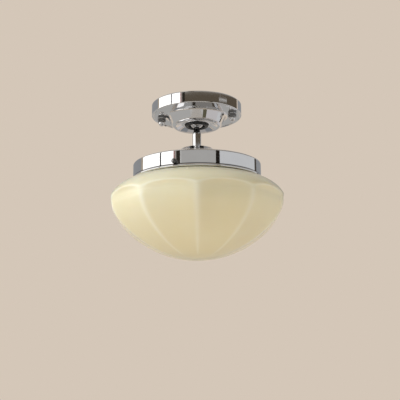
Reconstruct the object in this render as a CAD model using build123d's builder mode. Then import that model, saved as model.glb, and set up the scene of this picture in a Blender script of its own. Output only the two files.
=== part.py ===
from build123d import *
import os
from math import cos, pi, radians, sin, sqrt

# Semi-flush ceiling light: a chromed canopy against the ceiling, a ball swivel on a short stem, a chromed
# gallery with three thumbscrews, and an opal glass bowl with ten flat panels over one screw-in bulb.
# Millimetres and degrees. +Z is up, the origin is the centre of the ceiling plane and -Y is the front.

os.makedirs("parts", exist_ok=True)

# Clearances
fit = 0.05                      # fixed round pieces, per side
running_fit = 0.1               # round pieces that turn or slide in each other, per side
seat_clearance = 0.3            # ball in its seat
touch_gap = 0.3                 # screw tips and contacts from what they bear on

# Canopy: spun cover with a cylindrical band, a flat flange and a tapered tier with a dished base
canopy_radius = 53.5
canopy_depth = 13.5
canopy_wall = 1.2
canopy_edge_fillet = 1.6
flange_width = 18.2
tier_depth = 15.3
tier_taper = 7.4
tier_root_fillet = 4.3
tier_rim_fillet = 4.5
dish_rise = 5.6
land_width = 4.0

# Ball swivel
ball_radius = 10.5
ball_height = 5.5               # ball centre above the lower face of the land round the mouth
ball_top_flat = 9.8             # flat above the ball centre
ball_bore_radius = 2.3
seat_thickness = 3.5
seat_flange_height = 2.0
seat_flange_margin = 1.2
seat_throat_angle = 29.5        # edge of the throat below the ball's equator
seat_collar_depth = 3.7
neck_radius = 3.4
neck_length = 2.2               # straight stretch of the neck below the ball
neck_flare = 6.1
bushing_flange = 1.2
bushing_sleeve = 4.0
bushing_wall = 0.8

# Stem
stem_radius = 5.1
stem_wall = 1.0
stem_exposed = 16.7             # flare of the neck to the top of the gallery
stem_tail = 14.0                # threaded end below the top of the gallery
spigot_length = 9.0
collar_radius = 6.8
collar_height = 1.2
collar_fillet = 0.4

# Gallery: spun cover with a shallow cone that rises to a crown, a plain band and a rolled lower edge
gallery_radius = 75.0
gallery_wall = 1.2
hub_radius = 9.5                # flat seat of the collar
crown_radius = 20.0
crown_fall = 2.6                # hub to the crown's edge
crown_root_radius = 25.0
crown_root_drop = 4.0           # crown's edge to its root
hub_fillet = 3.0
crown_fillet = 2.0
crown_root_fillet = 3.0
cone_rise = 15.7                # band's upper edge to the root of the crown
band_height = 17.9
gallery_edge_fillet = 1.6
bead_radius = 1.35
bead_offset = 1.2               # bead centre outside the band
washer_thickness = 1.2
washer_radius = 8.5
nut_across_flats = 15.0
nut_height = 4.6

# Thumbscrews
screw_count = 3
first_screw_angle = -108.5      # from +X, the screw that shows at the front
screw_drop = 35.4               # screw axis below the top of the gallery
screw_radius = 2.0
screw_head_radius = 2.8
screw_head_length = 3.2
screw_head_gap = 0.4            # collar of the screw outside the band
screw_collar_radius = 2.3
screw_collar_length = 0.6
screw_button_inset = 0.7
screw_button_length = 0.5
knurl_count = 16
knurl_radius = 0.32
boss_radius = 3.4
boss_thickness = 2.2

# Glass shade
panel_count = 10
ridge_radius = 103.0
arch_overhang = 0.15            # round belly outside the panel ridges
glass_wall = 3.5
neck_gap = 3.3                  # glass neck inside the gallery band
glass_neck_height = 15.0
shade_gap = 0.1                 # shoulder below the rolled edge
shoulder_height = 26.65
shoulder_run = 18.0             # handles of the shoulder's curve
shoulder_fall = 1.2
shoulder_side = 11.5
scoop_radius = 11.5             # hollow curve where a panel runs out in its arch
scoop_drop = 0.1
bowl_depth = 66.5
bowl_side = 28.5                # handles of the bowl's curve
bowl_base = 44.0
base_lift = 1.2                 # smooth round base above the point where the panels would meet
base_radius = 130.0

# Ceiling bracket and what it carries
bracket_angle = -11.0           # from +X
bracket_width = 16.0
bracket_thickness = 2.0
bracket_end = 7.0
bracket_corner = 3.0
stud_inset = 10.5               # stud axis inside the canopy's outer face
stud_radius = 2.0
stud_recess = 0.3
flange_hole_gap = 0.3
lock_nut_across_flats = 7.0
lock_nut_height = 3.2
ceiling_hole_spacing = 70.0
ceiling_hole_radius = 2.5
cap_washer_radius = 4.9
cap_washer_thickness = 0.6
cap_nut_across_flats = 8.6
cap_nut_height = 3.4
cap_ball_radius = 3.7
cap_ball_sink = 1.6             # ball centre below the hexagon's lower face
cap_bore_depth = 4.6
stud_end_gap = 0.5
earth_screw_offset = 18.0
earth_screw_radius = 2.0
earth_head_radius = 3.8
earth_head_height = 2.4
earth_washer_radius = 4.6
earth_washer_thickness = 0.8
block_offset = 11.5             # terminal block from the axis
block_length = 15.0
block_width = 18.0
block_clearance = 1.5           # block above the canopy's flange
block_fillet = 0.8
block_pole_spacing = 9.0
terminal_spacing = 8.0
terminal_screw_radius = 1.5
terminal_screw_length = 3.0
block_entry_radius = 1.2
block_screw_radius = 1.4
block_screw_head_radius = 2.6
block_screw_head_height = 1.8

# Leads
lead_radius = 0.9
lead_spread = 1.15              # lead axis from the stem's axis
lead_rise = 11.6                # drop leads end this far above the ball centre
lead_gap = 0.8
lead_insert = 1.0
lead_bend = 2.5
lead_slope = 6.0                # height in which the leads spread to the holder's terminals

# Lampholder and bulb
holder_gap = 0.6                # holder below the gallery nut
holder_wall = 2.0
holder_neck_radius = 8.5
holder_neck_height = 7.0
holder_radius = 20.0
holder_cone = 10.0
holder_cap_rim = 6.0
skirt_length = 34.0
skirt_ledge_drop = 3.5
skirt_ledge = 2.4
insert_height = 7.5
insert_gap = 0.4
terminal_offset = 6.0
holder_screw_offset = 11.0
holder_screw_radius = 1.5
holder_screw_length = 4.0
holder_screw_head_radius = 2.6
holder_screw_head_height = 1.6
sleeve_radius = 14.1
sleeve_wall = 0.6
sleeve_length = 22.0
contact_radius = 3.5
contact_thickness = 1.2
bulb_thread_depth = 0.9
bulb_thread_gap = 0.4           # bulb thread inside the holder's sleeve
bulb_thread_pitch = 3.6
bulb_thread_turns = 5
bulb_tip_radius = 4.6
bulb_tip_height = 1.2
bulb_insulator_height = 3.6
bulb_cap_wall = 0.5
bulb_cap_skirt = 3.0
bulb_globe_radius = 22.5
bulb_length = 78.0
bulb_wall = 1.0
bulb_neck_insert = 2.5
bulb_shoulder = 14.0            # handle of the curve from neck to globe

# Heights worked out down the axis
flange_z = -canopy_depth
tier_z = flange_z - tier_depth
land_z = tier_z + dish_rise
land_top = land_z + canopy_wall
ball_z = land_z + ball_height
neck_top = ball_z - sqrt(ball_radius**2 - neck_radius**2)
flare_z = neck_top - neck_length
stem_top = flare_z - neck_flare
gallery_top = stem_top - stem_exposed
crown_z = gallery_top - crown_fall
crown_root_z = crown_z - crown_root_drop
cone_edge_z = crown_root_z - cone_rise
bead_z = cone_edge_z - band_height
screw_z = gallery_top - screw_drop
shoulder_z = bead_z - bead_radius - shade_gap
glass_top = shoulder_z + glass_neck_height
belly_z = shoulder_z - shoulder_height
scoop_z = belly_z - scoop_drop
pole_z = scoop_z - bowl_depth
base_z = pole_z + base_lift
stem_bottom = gallery_top - stem_tail
washer_top = gallery_top - gallery_wall
nut_top = washer_top - washer_thickness
holder_top = nut_top - nut_height - holder_gap
holder_cone_top = holder_top - holder_neck_height
holder_cone_bottom = holder_cone_top - holder_cone
holder_joint = holder_cone_bottom - holder_cap_rim
insert_bottom = holder_joint - skirt_ledge_drop
insert_top = insert_bottom + insert_height
bulb_top = insert_bottom - contact_thickness - touch_gap
insulator_top = bulb_top - bulb_tip_height
thread_top = insulator_top - bulb_insulator_height
thread_bottom = thread_top - bulb_thread_turns * bulb_thread_pitch
bulb_cap_bottom = thread_bottom - bulb_cap_skirt
bulb_bottom = bulb_top - bulb_length
lead_top = ball_z + lead_rise
cap_washer_bottom = flange_z - cap_washer_thickness
cap_nut_bottom = cap_washer_bottom - cap_nut_height

# Radii worked out across the axis
tier_top_radius = canopy_radius - flange_width
tier_bottom_radius = tier_top_radius - tier_taper
mouth_radius = ball_radius + seat_thickness
land_radius = mouth_radius + land_width
stud_circle = canopy_radius - stud_inset
gallery_bore = gallery_radius - gallery_wall
stem_bore = stem_radius - stem_wall
glass_neck_radius = gallery_bore - neck_gap
flat_radius = ridge_radius * cos(pi / panel_count)
belly_radius = ridge_radius + arch_overhang
skirt_bore = holder_radius - holder_wall - skirt_ledge
bulb_thread_radius = sleeve_radius - sleeve_wall - bulb_thread_gap
bulb_thread_root = bulb_thread_radius - bulb_thread_depth
bulb_neck_radius = bulb_thread_root - bulb_cap_wall - running_fit

# Bracket planes: one lies in the ceiling with x along the bracket, one stands across the bracket
along = (cos(radians(bracket_angle)), sin(radians(bracket_angle)), 0)
across = (-sin(radians(bracket_angle)), cos(radians(bracket_angle)), 0)
bracket_plane = Plane(origin=(0, 0, 0), x_dir=along, z_dir=(0, 0, 1))
across_plane = Plane(origin=(0, 0, 0), x_dir=across, z_dir=along)
bracket_bottom = -bracket_thickness
block_height = canopy_depth - canopy_wall - bracket_thickness - block_clearance
block_bottom = bracket_bottom - block_height
block_middle = -(block_offset + block_length / 2)
block_entry_z = bracket_bottom - block_height / 2


def screw_plane(index):
    """Plane on the axis at screw height that faces out along one thumbscrew."""
    angle = radians(first_screw_angle + index * 360 / screw_count)
    outward = (cos(angle), sin(angle), 0)
    return Plane(origin=(0, 0, screw_z), x_dir=(-sin(angle), cos(angle), 0), z_dir=outward)


def panel_plane(index):
    """Upright plane through the axis, square to one pair of opposite glass panels."""
    angle = 2 * pi * index / panel_count
    return Plane(origin=(0, 0, 0), x_dir=(cos(angle), sin(angle), 0), z_dir=(sin(angle), -cos(angle), 0))


# Ceiling bracket: flat steel strap with two screw holes, two stud holes and two tapped holes
with BuildPart() as bracket:
    with BuildSketch(bracket_plane.offset(bracket_bottom)):
        RectangleRounded(2 * (stud_circle + bracket_end), bracket_width, bracket_corner)
        with Locations((-ceiling_hole_spacing / 2, 0), (ceiling_hole_spacing / 2, 0)):
            Circle(ceiling_hole_radius, mode=Mode.SUBTRACT)
        with Locations((-stud_circle, 0), (stud_circle, 0)):
            Circle(stud_radius + fit, mode=Mode.SUBTRACT)
        with Locations((earth_screw_offset, 0)):
            Circle(earth_screw_radius + fit, mode=Mode.SUBTRACT)
        with Locations((block_middle, 0)):
            Circle(block_screw_radius + fit, mode=Mode.SUBTRACT)
    extrude(amount=bracket_thickness)
bracket.part.label = "ceiling_bracket"
export_step(bracket.part, "parts/ceiling_bracket.step")

# Studs that carry the canopy, each with its lock nut under the bracket and its washer and cap nut below
for index, side in enumerate((-1, 1), start=1):
    stud_end = cap_washer_bottom - cap_bore_depth + stud_end_gap
    with BuildPart() as stud:
        with BuildSketch(bracket_plane.offset(stud_end)):
            with Locations((side * stud_circle, 0)):
                Circle(stud_radius)
        extrude(amount=-stud_recess - stud_end)
    stud.part.label = f"canopy_stud_{index}"
    export_step(stud.part, f"parts/canopy_stud_{index}.step")

    with BuildPart() as lock_nut:
        with BuildSketch(bracket_plane.offset(bracket_bottom - lock_nut_height)):
            with Locations((side * stud_circle, 0)):
                RegularPolygon(lock_nut_across_flats / 2, 6, major_radius=False)
                Circle(stud_radius + fit, mode=Mode.SUBTRACT)
        extrude(amount=lock_nut_height)
    lock_nut.part.label = f"stud_lock_nut_{index}"
    export_step(lock_nut.part, f"parts/stud_lock_nut_{index}.step")

    with BuildPart() as cap_washer:
        with BuildSketch(bracket_plane.offset(cap_washer_bottom)):
            with Locations((side * stud_circle, 0)):
                Circle(cap_washer_radius)
                Circle(stud_radius + running_fit, mode=Mode.SUBTRACT)
        extrude(amount=cap_washer_thickness)
    cap_washer.part.label = f"cap_nut_washer_{index}"
    export_step(cap_washer.part, f"parts/cap_nut_washer_{index}.step")

    with BuildPart() as cap_nut:
        with BuildSketch(bracket_plane.offset(cap_nut_bottom)):
            with Locations((side * stud_circle, 0)):
                RegularPolygon(cap_nut_across_flats / 2, 6, major_radius=False)
        extrude(amount=cap_nut_height)
        with Locations(bracket_plane.offset(cap_nut_bottom - cap_ball_sink).location):
            with Locations((side * stud_circle, 0)):
                Sphere(cap_ball_radius)
        with BuildSketch(bracket_plane.offset(cap_washer_bottom)):
            with Locations((side * stud_circle, 0)):
                Circle(stud_radius + running_fit)
        extrude(amount=-cap_bore_depth, mode=Mode.SUBTRACT)
    cap_nut.part.label = f"cap_nut_{index}"
    export_step(cap_nut.part, f"parts/cap_nut_{index}.step")

# Earth screw and its washer under the bracket
with BuildPart() as earth_washer:
    with BuildSketch(bracket_plane.offset(bracket_bottom)):
        with Locations((earth_screw_offset, 0)):
            Circle(earth_washer_radius)
            Circle(earth_screw_radius + fit, mode=Mode.SUBTRACT)
    extrude(amount=-earth_washer_thickness)
earth_washer.part.label = "earth_washer"
export_step(earth_washer.part, "parts/earth_washer.step")

with BuildPart() as earth_screw:
    with BuildSketch(bracket_plane.offset(bracket_bottom - earth_washer_thickness)):
        with Locations((earth_screw_offset, 0)):
            Circle(earth_head_radius)
    extrude(amount=-earth_head_height)
    fillet(earth_screw.edges().group_by(Axis.Z)[0], earth_head_height / 3)
    with BuildSketch(bracket_plane.offset(bracket_bottom - earth_washer_thickness)):
        with Locations((earth_screw_offset, 0)):
            Circle(earth_screw_radius)
    extrude(amount=bracket_thickness + earth_washer_thickness - stud_recess)
earth_screw.part.label = "earth_screw"
export_step(earth_screw.part, "parts/earth_screw.step")

# Terminal block: two poles, each with a lead entry at both ends and two clamp screws from below
with BuildPart() as block:
    with BuildSketch(bracket_plane.offset(block_bottom)):
        with Locations((block_middle, 0)):
            Rectangle(block_length, block_width)
    extrude(amount=block_height)
    fillet(block.edges().filter_by(Axis.Z), block_fillet)
    with BuildSketch(bracket_plane.offset(block_bottom)):
        with Locations((block_middle, 0)):
            with GridLocations(terminal_spacing, block_pole_spacing, 2, 2):
                Circle(terminal_screw_radius + fit)
    extrude(amount=terminal_screw_length, mode=Mode.SUBTRACT)
    with BuildSketch(across_plane.offset(-block_offset)):
        with Locations((-block_pole_spacing / 2, block_entry_z), (block_pole_spacing / 2, block_entry_z)):
            Circle(block_entry_radius)
    extrude(amount=-block_length, mode=Mode.SUBTRACT)
    with BuildSketch(bracket_plane.offset(block_bottom)):
        with Locations((block_middle, 0)):
            Circle(block_screw_radius + fit)
    extrude(amount=block_height, mode=Mode.SUBTRACT)
block.part.label = "terminal_block"
export_step(block.part, "parts/terminal_block.step")

with BuildPart() as clamp_screws:
    with BuildSketch(bracket_plane.offset(block_bottom)):
        with Locations((block_middle, 0)):
            with GridLocations(terminal_spacing, block_pole_spacing, 2, 2):
                Circle(terminal_screw_radius)
    extrude(amount=terminal_screw_length)
clamp_screws.part.label = "terminal_clamp_screws"
export_step(clamp_screws.part, "parts/terminal_clamp_screws.step")

with BuildPart() as block_screw:
    with BuildSketch(bracket_plane.offset(block_bottom)):
        with Locations((block_middle, 0)):
            Circle(block_screw_radius)
    extrude(amount=block_height + bracket_thickness - stud_recess)
    with BuildSketch(bracket_plane.offset(block_bottom)):
        with Locations((block_middle, 0)):
            Circle(block_screw_head_radius)
    extrude(amount=-block_screw_head_height)
    fillet(block_screw.edges().group_by(Axis.Z)[0], block_screw_head_height / 3)
block_screw.part.label = "terminal_block_screw"
export_step(block_screw.part, "parts/terminal_block_screw.step")

# Canopy: the section is drawn whole, thinned to the wall and cut open at the ceiling and the mouth
with BuildPart() as canopy:
    with BuildSketch(Plane.XZ):
        with BuildLine():
            FilletPolyline(
                (0, canopy_depth),
                (canopy_radius, canopy_depth),
                (canopy_radius, flange_z),
                (tier_top_radius, flange_z),
                (tier_bottom_radius, tier_z),
                (land_radius, land_z),
                (0, land_z),
                radius=(0, canopy_edge_fillet, tier_root_fillet, tier_rim_fillet, 0),
            )
            mirror(about=Plane.YZ)
        make_face()
        offset(amount=-canopy_wall, kind=Kind.INTERSECTION, mode=Mode.SUBTRACT)
        with Locations((mouth_radius, 0)):
            Rectangle(canopy_radius, -tier_z, align=(Align.MIN, Align.MAX), mode=Mode.INTERSECT)
    revolve(axis=Axis.Z)
    with BuildSketch(bracket_plane):
        with Locations((-stud_circle, 0), (stud_circle, 0)):
            Circle(stud_radius + flange_hole_gap)
    extrude(amount=tier_z, mode=Mode.SUBTRACT)
    fillet(canopy.edges().filter_by(GeomType.CIRCLE).group_by(Axis.Z)[-1], canopy_wall / 3)
canopy.part.label = "canopy"
export_step(canopy.part, "parts/canopy.step")

# Seat ring: black nylon ring in the canopy's mouth, with a flange above and a round collar below
seat_radius = ball_radius + seat_clearance
seat_top = land_top + seat_flange_height
throat_radius = seat_radius * cos(radians(seat_throat_angle))
throat_z = ball_z - seat_radius * sin(radians(seat_throat_angle))
collar_outer = mouth_radius - running_fit
collar_round = (collar_outer - throat_radius) / 2
collar_low_z = land_z - seat_collar_depth
collar_side_z = collar_low_z + collar_round
with BuildPart() as seat_ring:
    with BuildSketch(Plane.XZ):
        with BuildLine():
            seat_start = (sqrt(seat_radius**2 - (seat_top - ball_z) ** 2), seat_top)
            seat_low = (throat_radius, throat_z)
            Polyline(
                seat_start,
                (land_radius - seat_flange_margin, seat_top),
                (land_radius - seat_flange_margin, land_top),
                (collar_outer, land_top),
                (collar_outer, collar_side_z),
            )
            ThreePointArc(
                (collar_outer, collar_side_z),
                (throat_radius + collar_round, collar_low_z),
                (throat_radius, collar_side_z),
            )
            Line((throat_radius, collar_side_z), seat_low)
            RadiusArc(seat_low, seat_start, -seat_radius)
        make_face()
    revolve(axis=Axis.Z)
seat_ring.part.label = "seat_ring"
export_step(seat_ring.part, "parts/seat_ring.step")

# Swivel ball: turned with its neck and a threaded spigot, and bored for the leads
with BuildPart() as ball:
    with Locations((0, 0, ball_z)):
        Sphere(ball_radius)
    with BuildSketch(Plane.XZ):
        with BuildLine():
            Polyline(
                (0, ball_z),
                (neck_radius, ball_z),
                (neck_radius, flare_z),
                (stem_radius, stem_top),
                (stem_bore - fit, stem_top),
                (stem_bore - fit, stem_top - spigot_length),
                (0, stem_top - spigot_length),
                close=True,
            )
        make_face()
    revolve(axis=Axis.Z)
    with BuildSketch(Plane.XY.offset(ball_z + ball_top_flat)):
        Circle(ball_radius)
    extrude(amount=ball_radius, mode=Mode.SUBTRACT)
    with BuildSketch(Plane.XY.offset(ball_z + ball_top_flat)):
        Circle(ball_bore_radius + bushing_wall + fit)
    extrude(amount=-bushing_sleeve - fit, mode=Mode.SUBTRACT)
    with BuildSketch(Plane.XY.offset(ball_z + ball_top_flat)):
        Circle(ball_bore_radius)
    extrude(amount=stem_top - spigot_length - ball_z - ball_top_flat, mode=Mode.SUBTRACT)
ball.part.label = "swivel_ball"
export_step(ball.part, "parts/swivel_ball.step")

# Lead bushing pressed into the top of the ball
with BuildPart() as bushing:
    with BuildSketch(Plane.XY.offset(ball_z + ball_top_flat)):
        Circle(ball_bore_radius + bushing_wall)
    extrude(amount=-bushing_sleeve)
    with BuildSketch(Plane.XY.offset(ball_z + ball_top_flat)):
        Circle(ball_bore_radius + 2 * bushing_wall)
    extrude(amount=bushing_flange)
    with BuildSketch(Plane.XY.offset(ball_z + ball_top_flat - bushing_sleeve)):
        Circle(ball_bore_radius)
    extrude(amount=bushing_sleeve + bushing_flange, mode=Mode.SUBTRACT)
bushing.part.label = "lead_bushing"
export_step(bushing.part, "parts/lead_bushing.step")

# Stem: chromed tube from the neck's flare through the top of the gallery
with BuildPart() as stem:
    with BuildSketch(Plane.XY.offset(stem_bottom)):
        Circle(stem_radius)
        Circle(stem_bore, mode=Mode.SUBTRACT)
    extrude(amount=stem_top - stem_bottom)
stem.part.label = "stem"
export_step(stem.part, "parts/stem.step")

# Collar on the stem above the gallery, washer and hexagon nut below it
with BuildPart() as collar:
    with BuildSketch(Plane.XY.offset(gallery_top)):
        Circle(collar_radius)
        Circle(stem_radius + fit, mode=Mode.SUBTRACT)
    extrude(amount=collar_height)
    fillet(collar.edges().group_by(Axis.Z)[-1].sort_by(SortBy.LENGTH)[-1], collar_fillet)
collar.part.label = "stem_collar"
export_step(collar.part, "parts/stem_collar.step")

with BuildPart() as gallery_washer:
    with BuildSketch(Plane.XY.offset(nut_top)):
        Circle(washer_radius)
        Circle(stem_radius + fit, mode=Mode.SUBTRACT)
    extrude(amount=washer_thickness)
gallery_washer.part.label = "gallery_washer"
export_step(gallery_washer.part, "parts/gallery_washer.step")

with BuildPart() as gallery_nut:
    with BuildSketch(Plane.XY.offset(nut_top - nut_height)):
        RegularPolygon(nut_across_flats / 2, 6, major_radius=False)
        Circle(stem_radius + fit, mode=Mode.SUBTRACT)
    extrude(amount=nut_height)
gallery_nut.part.label = "gallery_nut"
export_step(gallery_nut.part, "parts/gallery_nut.step")

# Gallery: crown, cone and band thinned to the wall, with a rolled bead at the lower edge and three screw holes
with BuildPart() as gallery:
    with BuildSketch(Plane.XZ):
        with BuildLine():
            FilletPolyline(
                (0, gallery_top),
                (hub_radius, gallery_top),
                (crown_radius, crown_z),
                (crown_root_radius, crown_root_z),
                (gallery_radius, cone_edge_z),
                (gallery_radius, bead_z - gallery_radius),
                (0, bead_z - gallery_radius),
                radius=(hub_fillet, crown_fillet, crown_root_fillet, gallery_edge_fillet, 0),
            )
            mirror(about=Plane.YZ)
        make_face()
        offset(amount=-gallery_wall, kind=Kind.INTERSECTION, mode=Mode.SUBTRACT)
        with Locations((stem_radius + fit, bead_z)):
            Rectangle(gallery_radius, gallery_top - bead_z, align=Align.MIN, mode=Mode.INTERSECT)
        with Locations((gallery_radius + bead_offset - gallery_wall / 2, bead_z)):
            Circle(bead_radius)
    revolve(axis=Axis.Z)
    for index in range(screw_count):
        with BuildSketch(screw_plane(index)):
            Circle(screw_radius + running_fit)
        extrude(amount=2 * gallery_radius, mode=Mode.SUBTRACT)
gallery.part.label = "gallery"
export_step(gallery.part, "parts/gallery.step")

# Thumbscrews with knurled heads, and the tapped bosses behind the band that they turn in
for index in range(screw_count):
    plane = screw_plane(index)
    boss_face = gallery_bore - boss_thickness
    tip = glass_neck_radius + touch_gap
    collar_face = gallery_radius + screw_head_gap
    head_face = collar_face + screw_collar_length
    with BuildPart() as boss:
        with BuildSketch(plane.offset(boss_face)):
            Circle(boss_radius)
            Circle(screw_radius + running_fit, mode=Mode.SUBTRACT)
        extrude(amount=2 * boss_thickness)
        with BuildSketch(Plane.XY.offset(screw_z - 2 * boss_radius)):
            Circle(gallery_bore - fit)
        extrude(amount=4 * boss_radius, mode=Mode.INTERSECT)
    boss.part.label = f"screw_boss_{index + 1}"
    export_step(boss.part, f"parts/screw_boss_{index + 1}.step")

    with BuildPart() as thumbscrew:
        with BuildSketch(plane.offset(tip)):
            Circle(screw_radius)
        extrude(amount=head_face - tip)
        with BuildSketch(plane.offset(collar_face)):
            Circle(screw_collar_radius)
        extrude(amount=screw_collar_length)
        with BuildSketch(plane.offset(head_face)):
            Circle(screw_head_radius)
            with PolarLocations(screw_head_radius, knurl_count):
                Circle(knurl_radius, mode=Mode.SUBTRACT)
        extrude(amount=screw_head_length)
        with BuildSketch(plane.offset(head_face + screw_head_length)):
            Circle(screw_head_radius - screw_button_inset)
        extrude(amount=screw_button_length)
    thumbscrew.part.label = f"thumbscrew_{index + 1}"
    export_step(thumbscrew.part, f"parts/thumbscrew_{index + 1}.step")

# Glass shade: a turned body, cut to flat panels that end in arches under the shoulder, and hollowed smooth
with BuildPart() as shade:
    base_rim_z = base_z + base_radius - sqrt(base_radius**2 - belly_radius**2)
    with BuildSketch(Plane.XZ):
        with BuildLine():
            Polyline((0, glass_top), (glass_neck_radius, glass_top), (glass_neck_radius, shoulder_z))
            Bezier(
                (glass_neck_radius, shoulder_z),
                (glass_neck_radius + shoulder_run, shoulder_z - shoulder_fall),
                (belly_radius, belly_z + shoulder_side),
                (belly_radius, belly_z),
            )
            Line((belly_radius, belly_z), (belly_radius, base_rim_z))
            TangentArc((0, base_z), (belly_radius, base_rim_z), tangent=(1, 0))
            Line((0, base_z), (0, glass_top))
        make_face()
    revolve(axis=Axis.Z)
    for index in range(panel_count // 2):
        with BuildSketch(panel_plane(index).offset(-belly_radius)):
            with BuildLine():
                Bezier(
                    (0, pole_z),
                    (bowl_base, pole_z),
                    (flat_radius, scoop_z - bowl_side),
                    (flat_radius, scoop_z),
                )
                TangentArc(
                    (flat_radius, scoop_z),
                    (flat_radius + scoop_radius, scoop_z + scoop_radius),
                    tangent=(0, 1),
                )
                Polyline(
                    (flat_radius + scoop_radius, scoop_z + scoop_radius),
                    (flat_radius + scoop_radius, glass_top),
                    (0, glass_top),
                )
                mirror(about=Plane.YZ)
            make_face()
        extrude(amount=2 * belly_radius, mode=Mode.INTERSECT)
    with BuildSketch(Plane.XZ):
        with BuildLine():
            bore = glass_neck_radius - glass_wall
            bowl_bore = flat_radius - glass_wall
            Polyline((0, glass_top), (bore, glass_top), (bore, shoulder_z - glass_wall))
            Bezier(
                (bore, shoulder_z - glass_wall),
                (bore + shoulder_run, shoulder_z - glass_wall - shoulder_fall),
                (bowl_bore, belly_z + shoulder_side),
                (bowl_bore, belly_z),
            )
            Bezier(
                (bowl_bore, belly_z),
                (bowl_bore, belly_z - bowl_side + glass_wall),
                (bowl_base - glass_wall, base_z + glass_wall),
                (0, base_z + glass_wall),
            )
            Line((0, base_z + glass_wall), (0, glass_top))
        make_face()
    revolve(axis=Axis.Z, mode=Mode.SUBTRACT)
    fillet(shade.edges().group_by(Axis.Z)[-1], glass_wall / 3)
shade.part.label = "glass_shade"
export_step(shade.part, "parts/glass_shade.step")

# Lampholder cap: screws on the stem's threaded end and widens to the skirt
with BuildPart() as holder_cap:
    with BuildSketch(Plane.XZ):
        with BuildLine():
            Polyline(
                (0, holder_top),
                (holder_neck_radius, holder_top),
                (holder_neck_radius, holder_cone_top),
                (holder_radius, holder_cone_bottom),
                (holder_radius, holder_joint - holder_radius),
                (0, holder_joint - holder_radius),
            )
            mirror(about=Plane.YZ)
        make_face()
        offset(amount=-holder_wall, kind=Kind.INTERSECTION, mode=Mode.SUBTRACT)
        with Locations((stem_radius + fit, holder_joint)):
            Rectangle(holder_radius, holder_top - holder_joint, align=Align.MIN, mode=Mode.INTERSECT)
    revolve(axis=Axis.Z)
holder_cap.part.label = "lampholder_cap"
export_step(holder_cap.part, "parts/lampholder_cap.step")

# Lampholder skirt: screws to the cap and carries the ceramic insert on a ledge
with BuildPart() as skirt:
    with BuildSketch(Plane.XY.offset(holder_joint - skirt_length)):
        Circle(holder_radius)
        Circle(skirt_bore, mode=Mode.SUBTRACT)
    extrude(amount=skirt_length)
    with BuildSketch(Plane.XY.offset(insert_bottom)):
        Circle(holder_radius - holder_wall)
    extrude(amount=skirt_ledge_drop, mode=Mode.SUBTRACT)
    fillet(skirt.edges().group_by(Axis.Z)[0], holder_wall / 3)
skirt.part.label = "lampholder_skirt"
export_step(skirt.part, "parts/lampholder_skirt.step")

# Ceramic insert with two terminals, and the screws that clamp the leads
with BuildPart() as insert:
    with BuildSketch(Plane.XY.offset(insert_bottom)):
        Circle(holder_radius - holder_wall - insert_gap)
    extrude(amount=insert_height)
    with BuildSketch(bracket_plane.offset(insert_top)):
        with Locations((0, -holder_screw_offset), (0, holder_screw_offset)):
            Circle(holder_screw_radius + fit)
    extrude(amount=-holder_screw_length, mode=Mode.SUBTRACT)
    with BuildSketch(bracket_plane.offset(insert_top)):
        with Locations((0, -terminal_offset), (0, terminal_offset)):
            Circle(lead_radius + fit)
    extrude(amount=-lead_insert, mode=Mode.SUBTRACT)
insert.part.label = "lampholder_insert"
export_step(insert.part, "parts/lampholder_insert.step")

with BuildPart() as holder_screws:
    with BuildSketch(bracket_plane.offset(insert_top)):
        with Locations((0, -holder_screw_offset), (0, holder_screw_offset)):
            Circle(holder_screw_radius)
    extrude(amount=-holder_screw_length)
    with BuildSketch(bracket_plane.offset(insert_top)):
        with Locations((0, -holder_screw_offset), (0, holder_screw_offset)):
            Circle(holder_screw_head_radius)
    extrude(amount=holder_screw_head_height)
holder_screws.part.label = "lampholder_screws"
export_step(holder_screws.part, "parts/lampholder_screws.step")

# Threaded metal sleeve and centre contact under the insert
with BuildPart() as sleeve:
    with BuildSketch(Plane.XY.offset(insert_bottom)):
        Circle(sleeve_radius)
        Circle(sleeve_radius - sleeve_wall, mode=Mode.SUBTRACT)
    extrude(amount=-sleeve_length)
sleeve.part.label = "lampholder_sleeve"
export_step(sleeve.part, "parts/lampholder_sleeve.step")

with BuildPart() as contact:
    with BuildSketch(Plane.XY.offset(insert_bottom)):
        Circle(contact_radius)
    extrude(amount=-contact_thickness)
contact.part.label = "lampholder_contact"
export_step(contact.part, "parts/lampholder_contact.step")

# Bulb: contact tip, insulator, screw cap drawn as rings, and the opal globe
with BuildPart() as bulb_tip:
    with BuildSketch(Plane.XY.offset(insulator_top)):
        Circle(bulb_tip_radius)
    extrude(amount=bulb_tip_height)
    fillet(bulb_tip.edges().group_by(Axis.Z)[-1], bulb_tip_height / 2)
bulb_tip.part.label = "bulb_tip"
export_step(bulb_tip.part, "parts/bulb_tip.step")

with BuildPart() as insulator:
    with BuildSketch(Plane.XZ):
        with BuildLine():
            Polyline(
                (0, insulator_top),
                (bulb_tip_radius + bulb_tip_height, insulator_top),
                (bulb_thread_root, thread_top),
                (0, thread_top),
                close=True,
            )
        make_face()
    revolve(axis=Axis.Z)
insulator.part.label = "bulb_insulator"
export_step(insulator.part, "parts/bulb_insulator.step")

with BuildPart() as bulb_cap:
    half_pitch = bulb_thread_pitch / 2
    rings = [
        (bulb_thread_radius if step % 2 else bulb_thread_root, thread_top - step * half_pitch)
        for step in range(2 * bulb_thread_turns + 1)
    ]
    with BuildSketch(Plane.XZ):
        with BuildLine():
            Polyline(
                (0, thread_top),
                *rings,
                (bulb_thread_root, bulb_cap_bottom),
                (bulb_neck_radius + running_fit, bulb_cap_bottom),
                (bulb_neck_radius + running_fit, thread_top - bulb_cap_wall),
                (0, thread_top - bulb_cap_wall),
                close=True,
            )
        make_face()
    revolve(axis=Axis.Z)
bulb_cap.part.label = "bulb_cap"
export_step(bulb_cap.part, "parts/bulb_cap.step")

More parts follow.
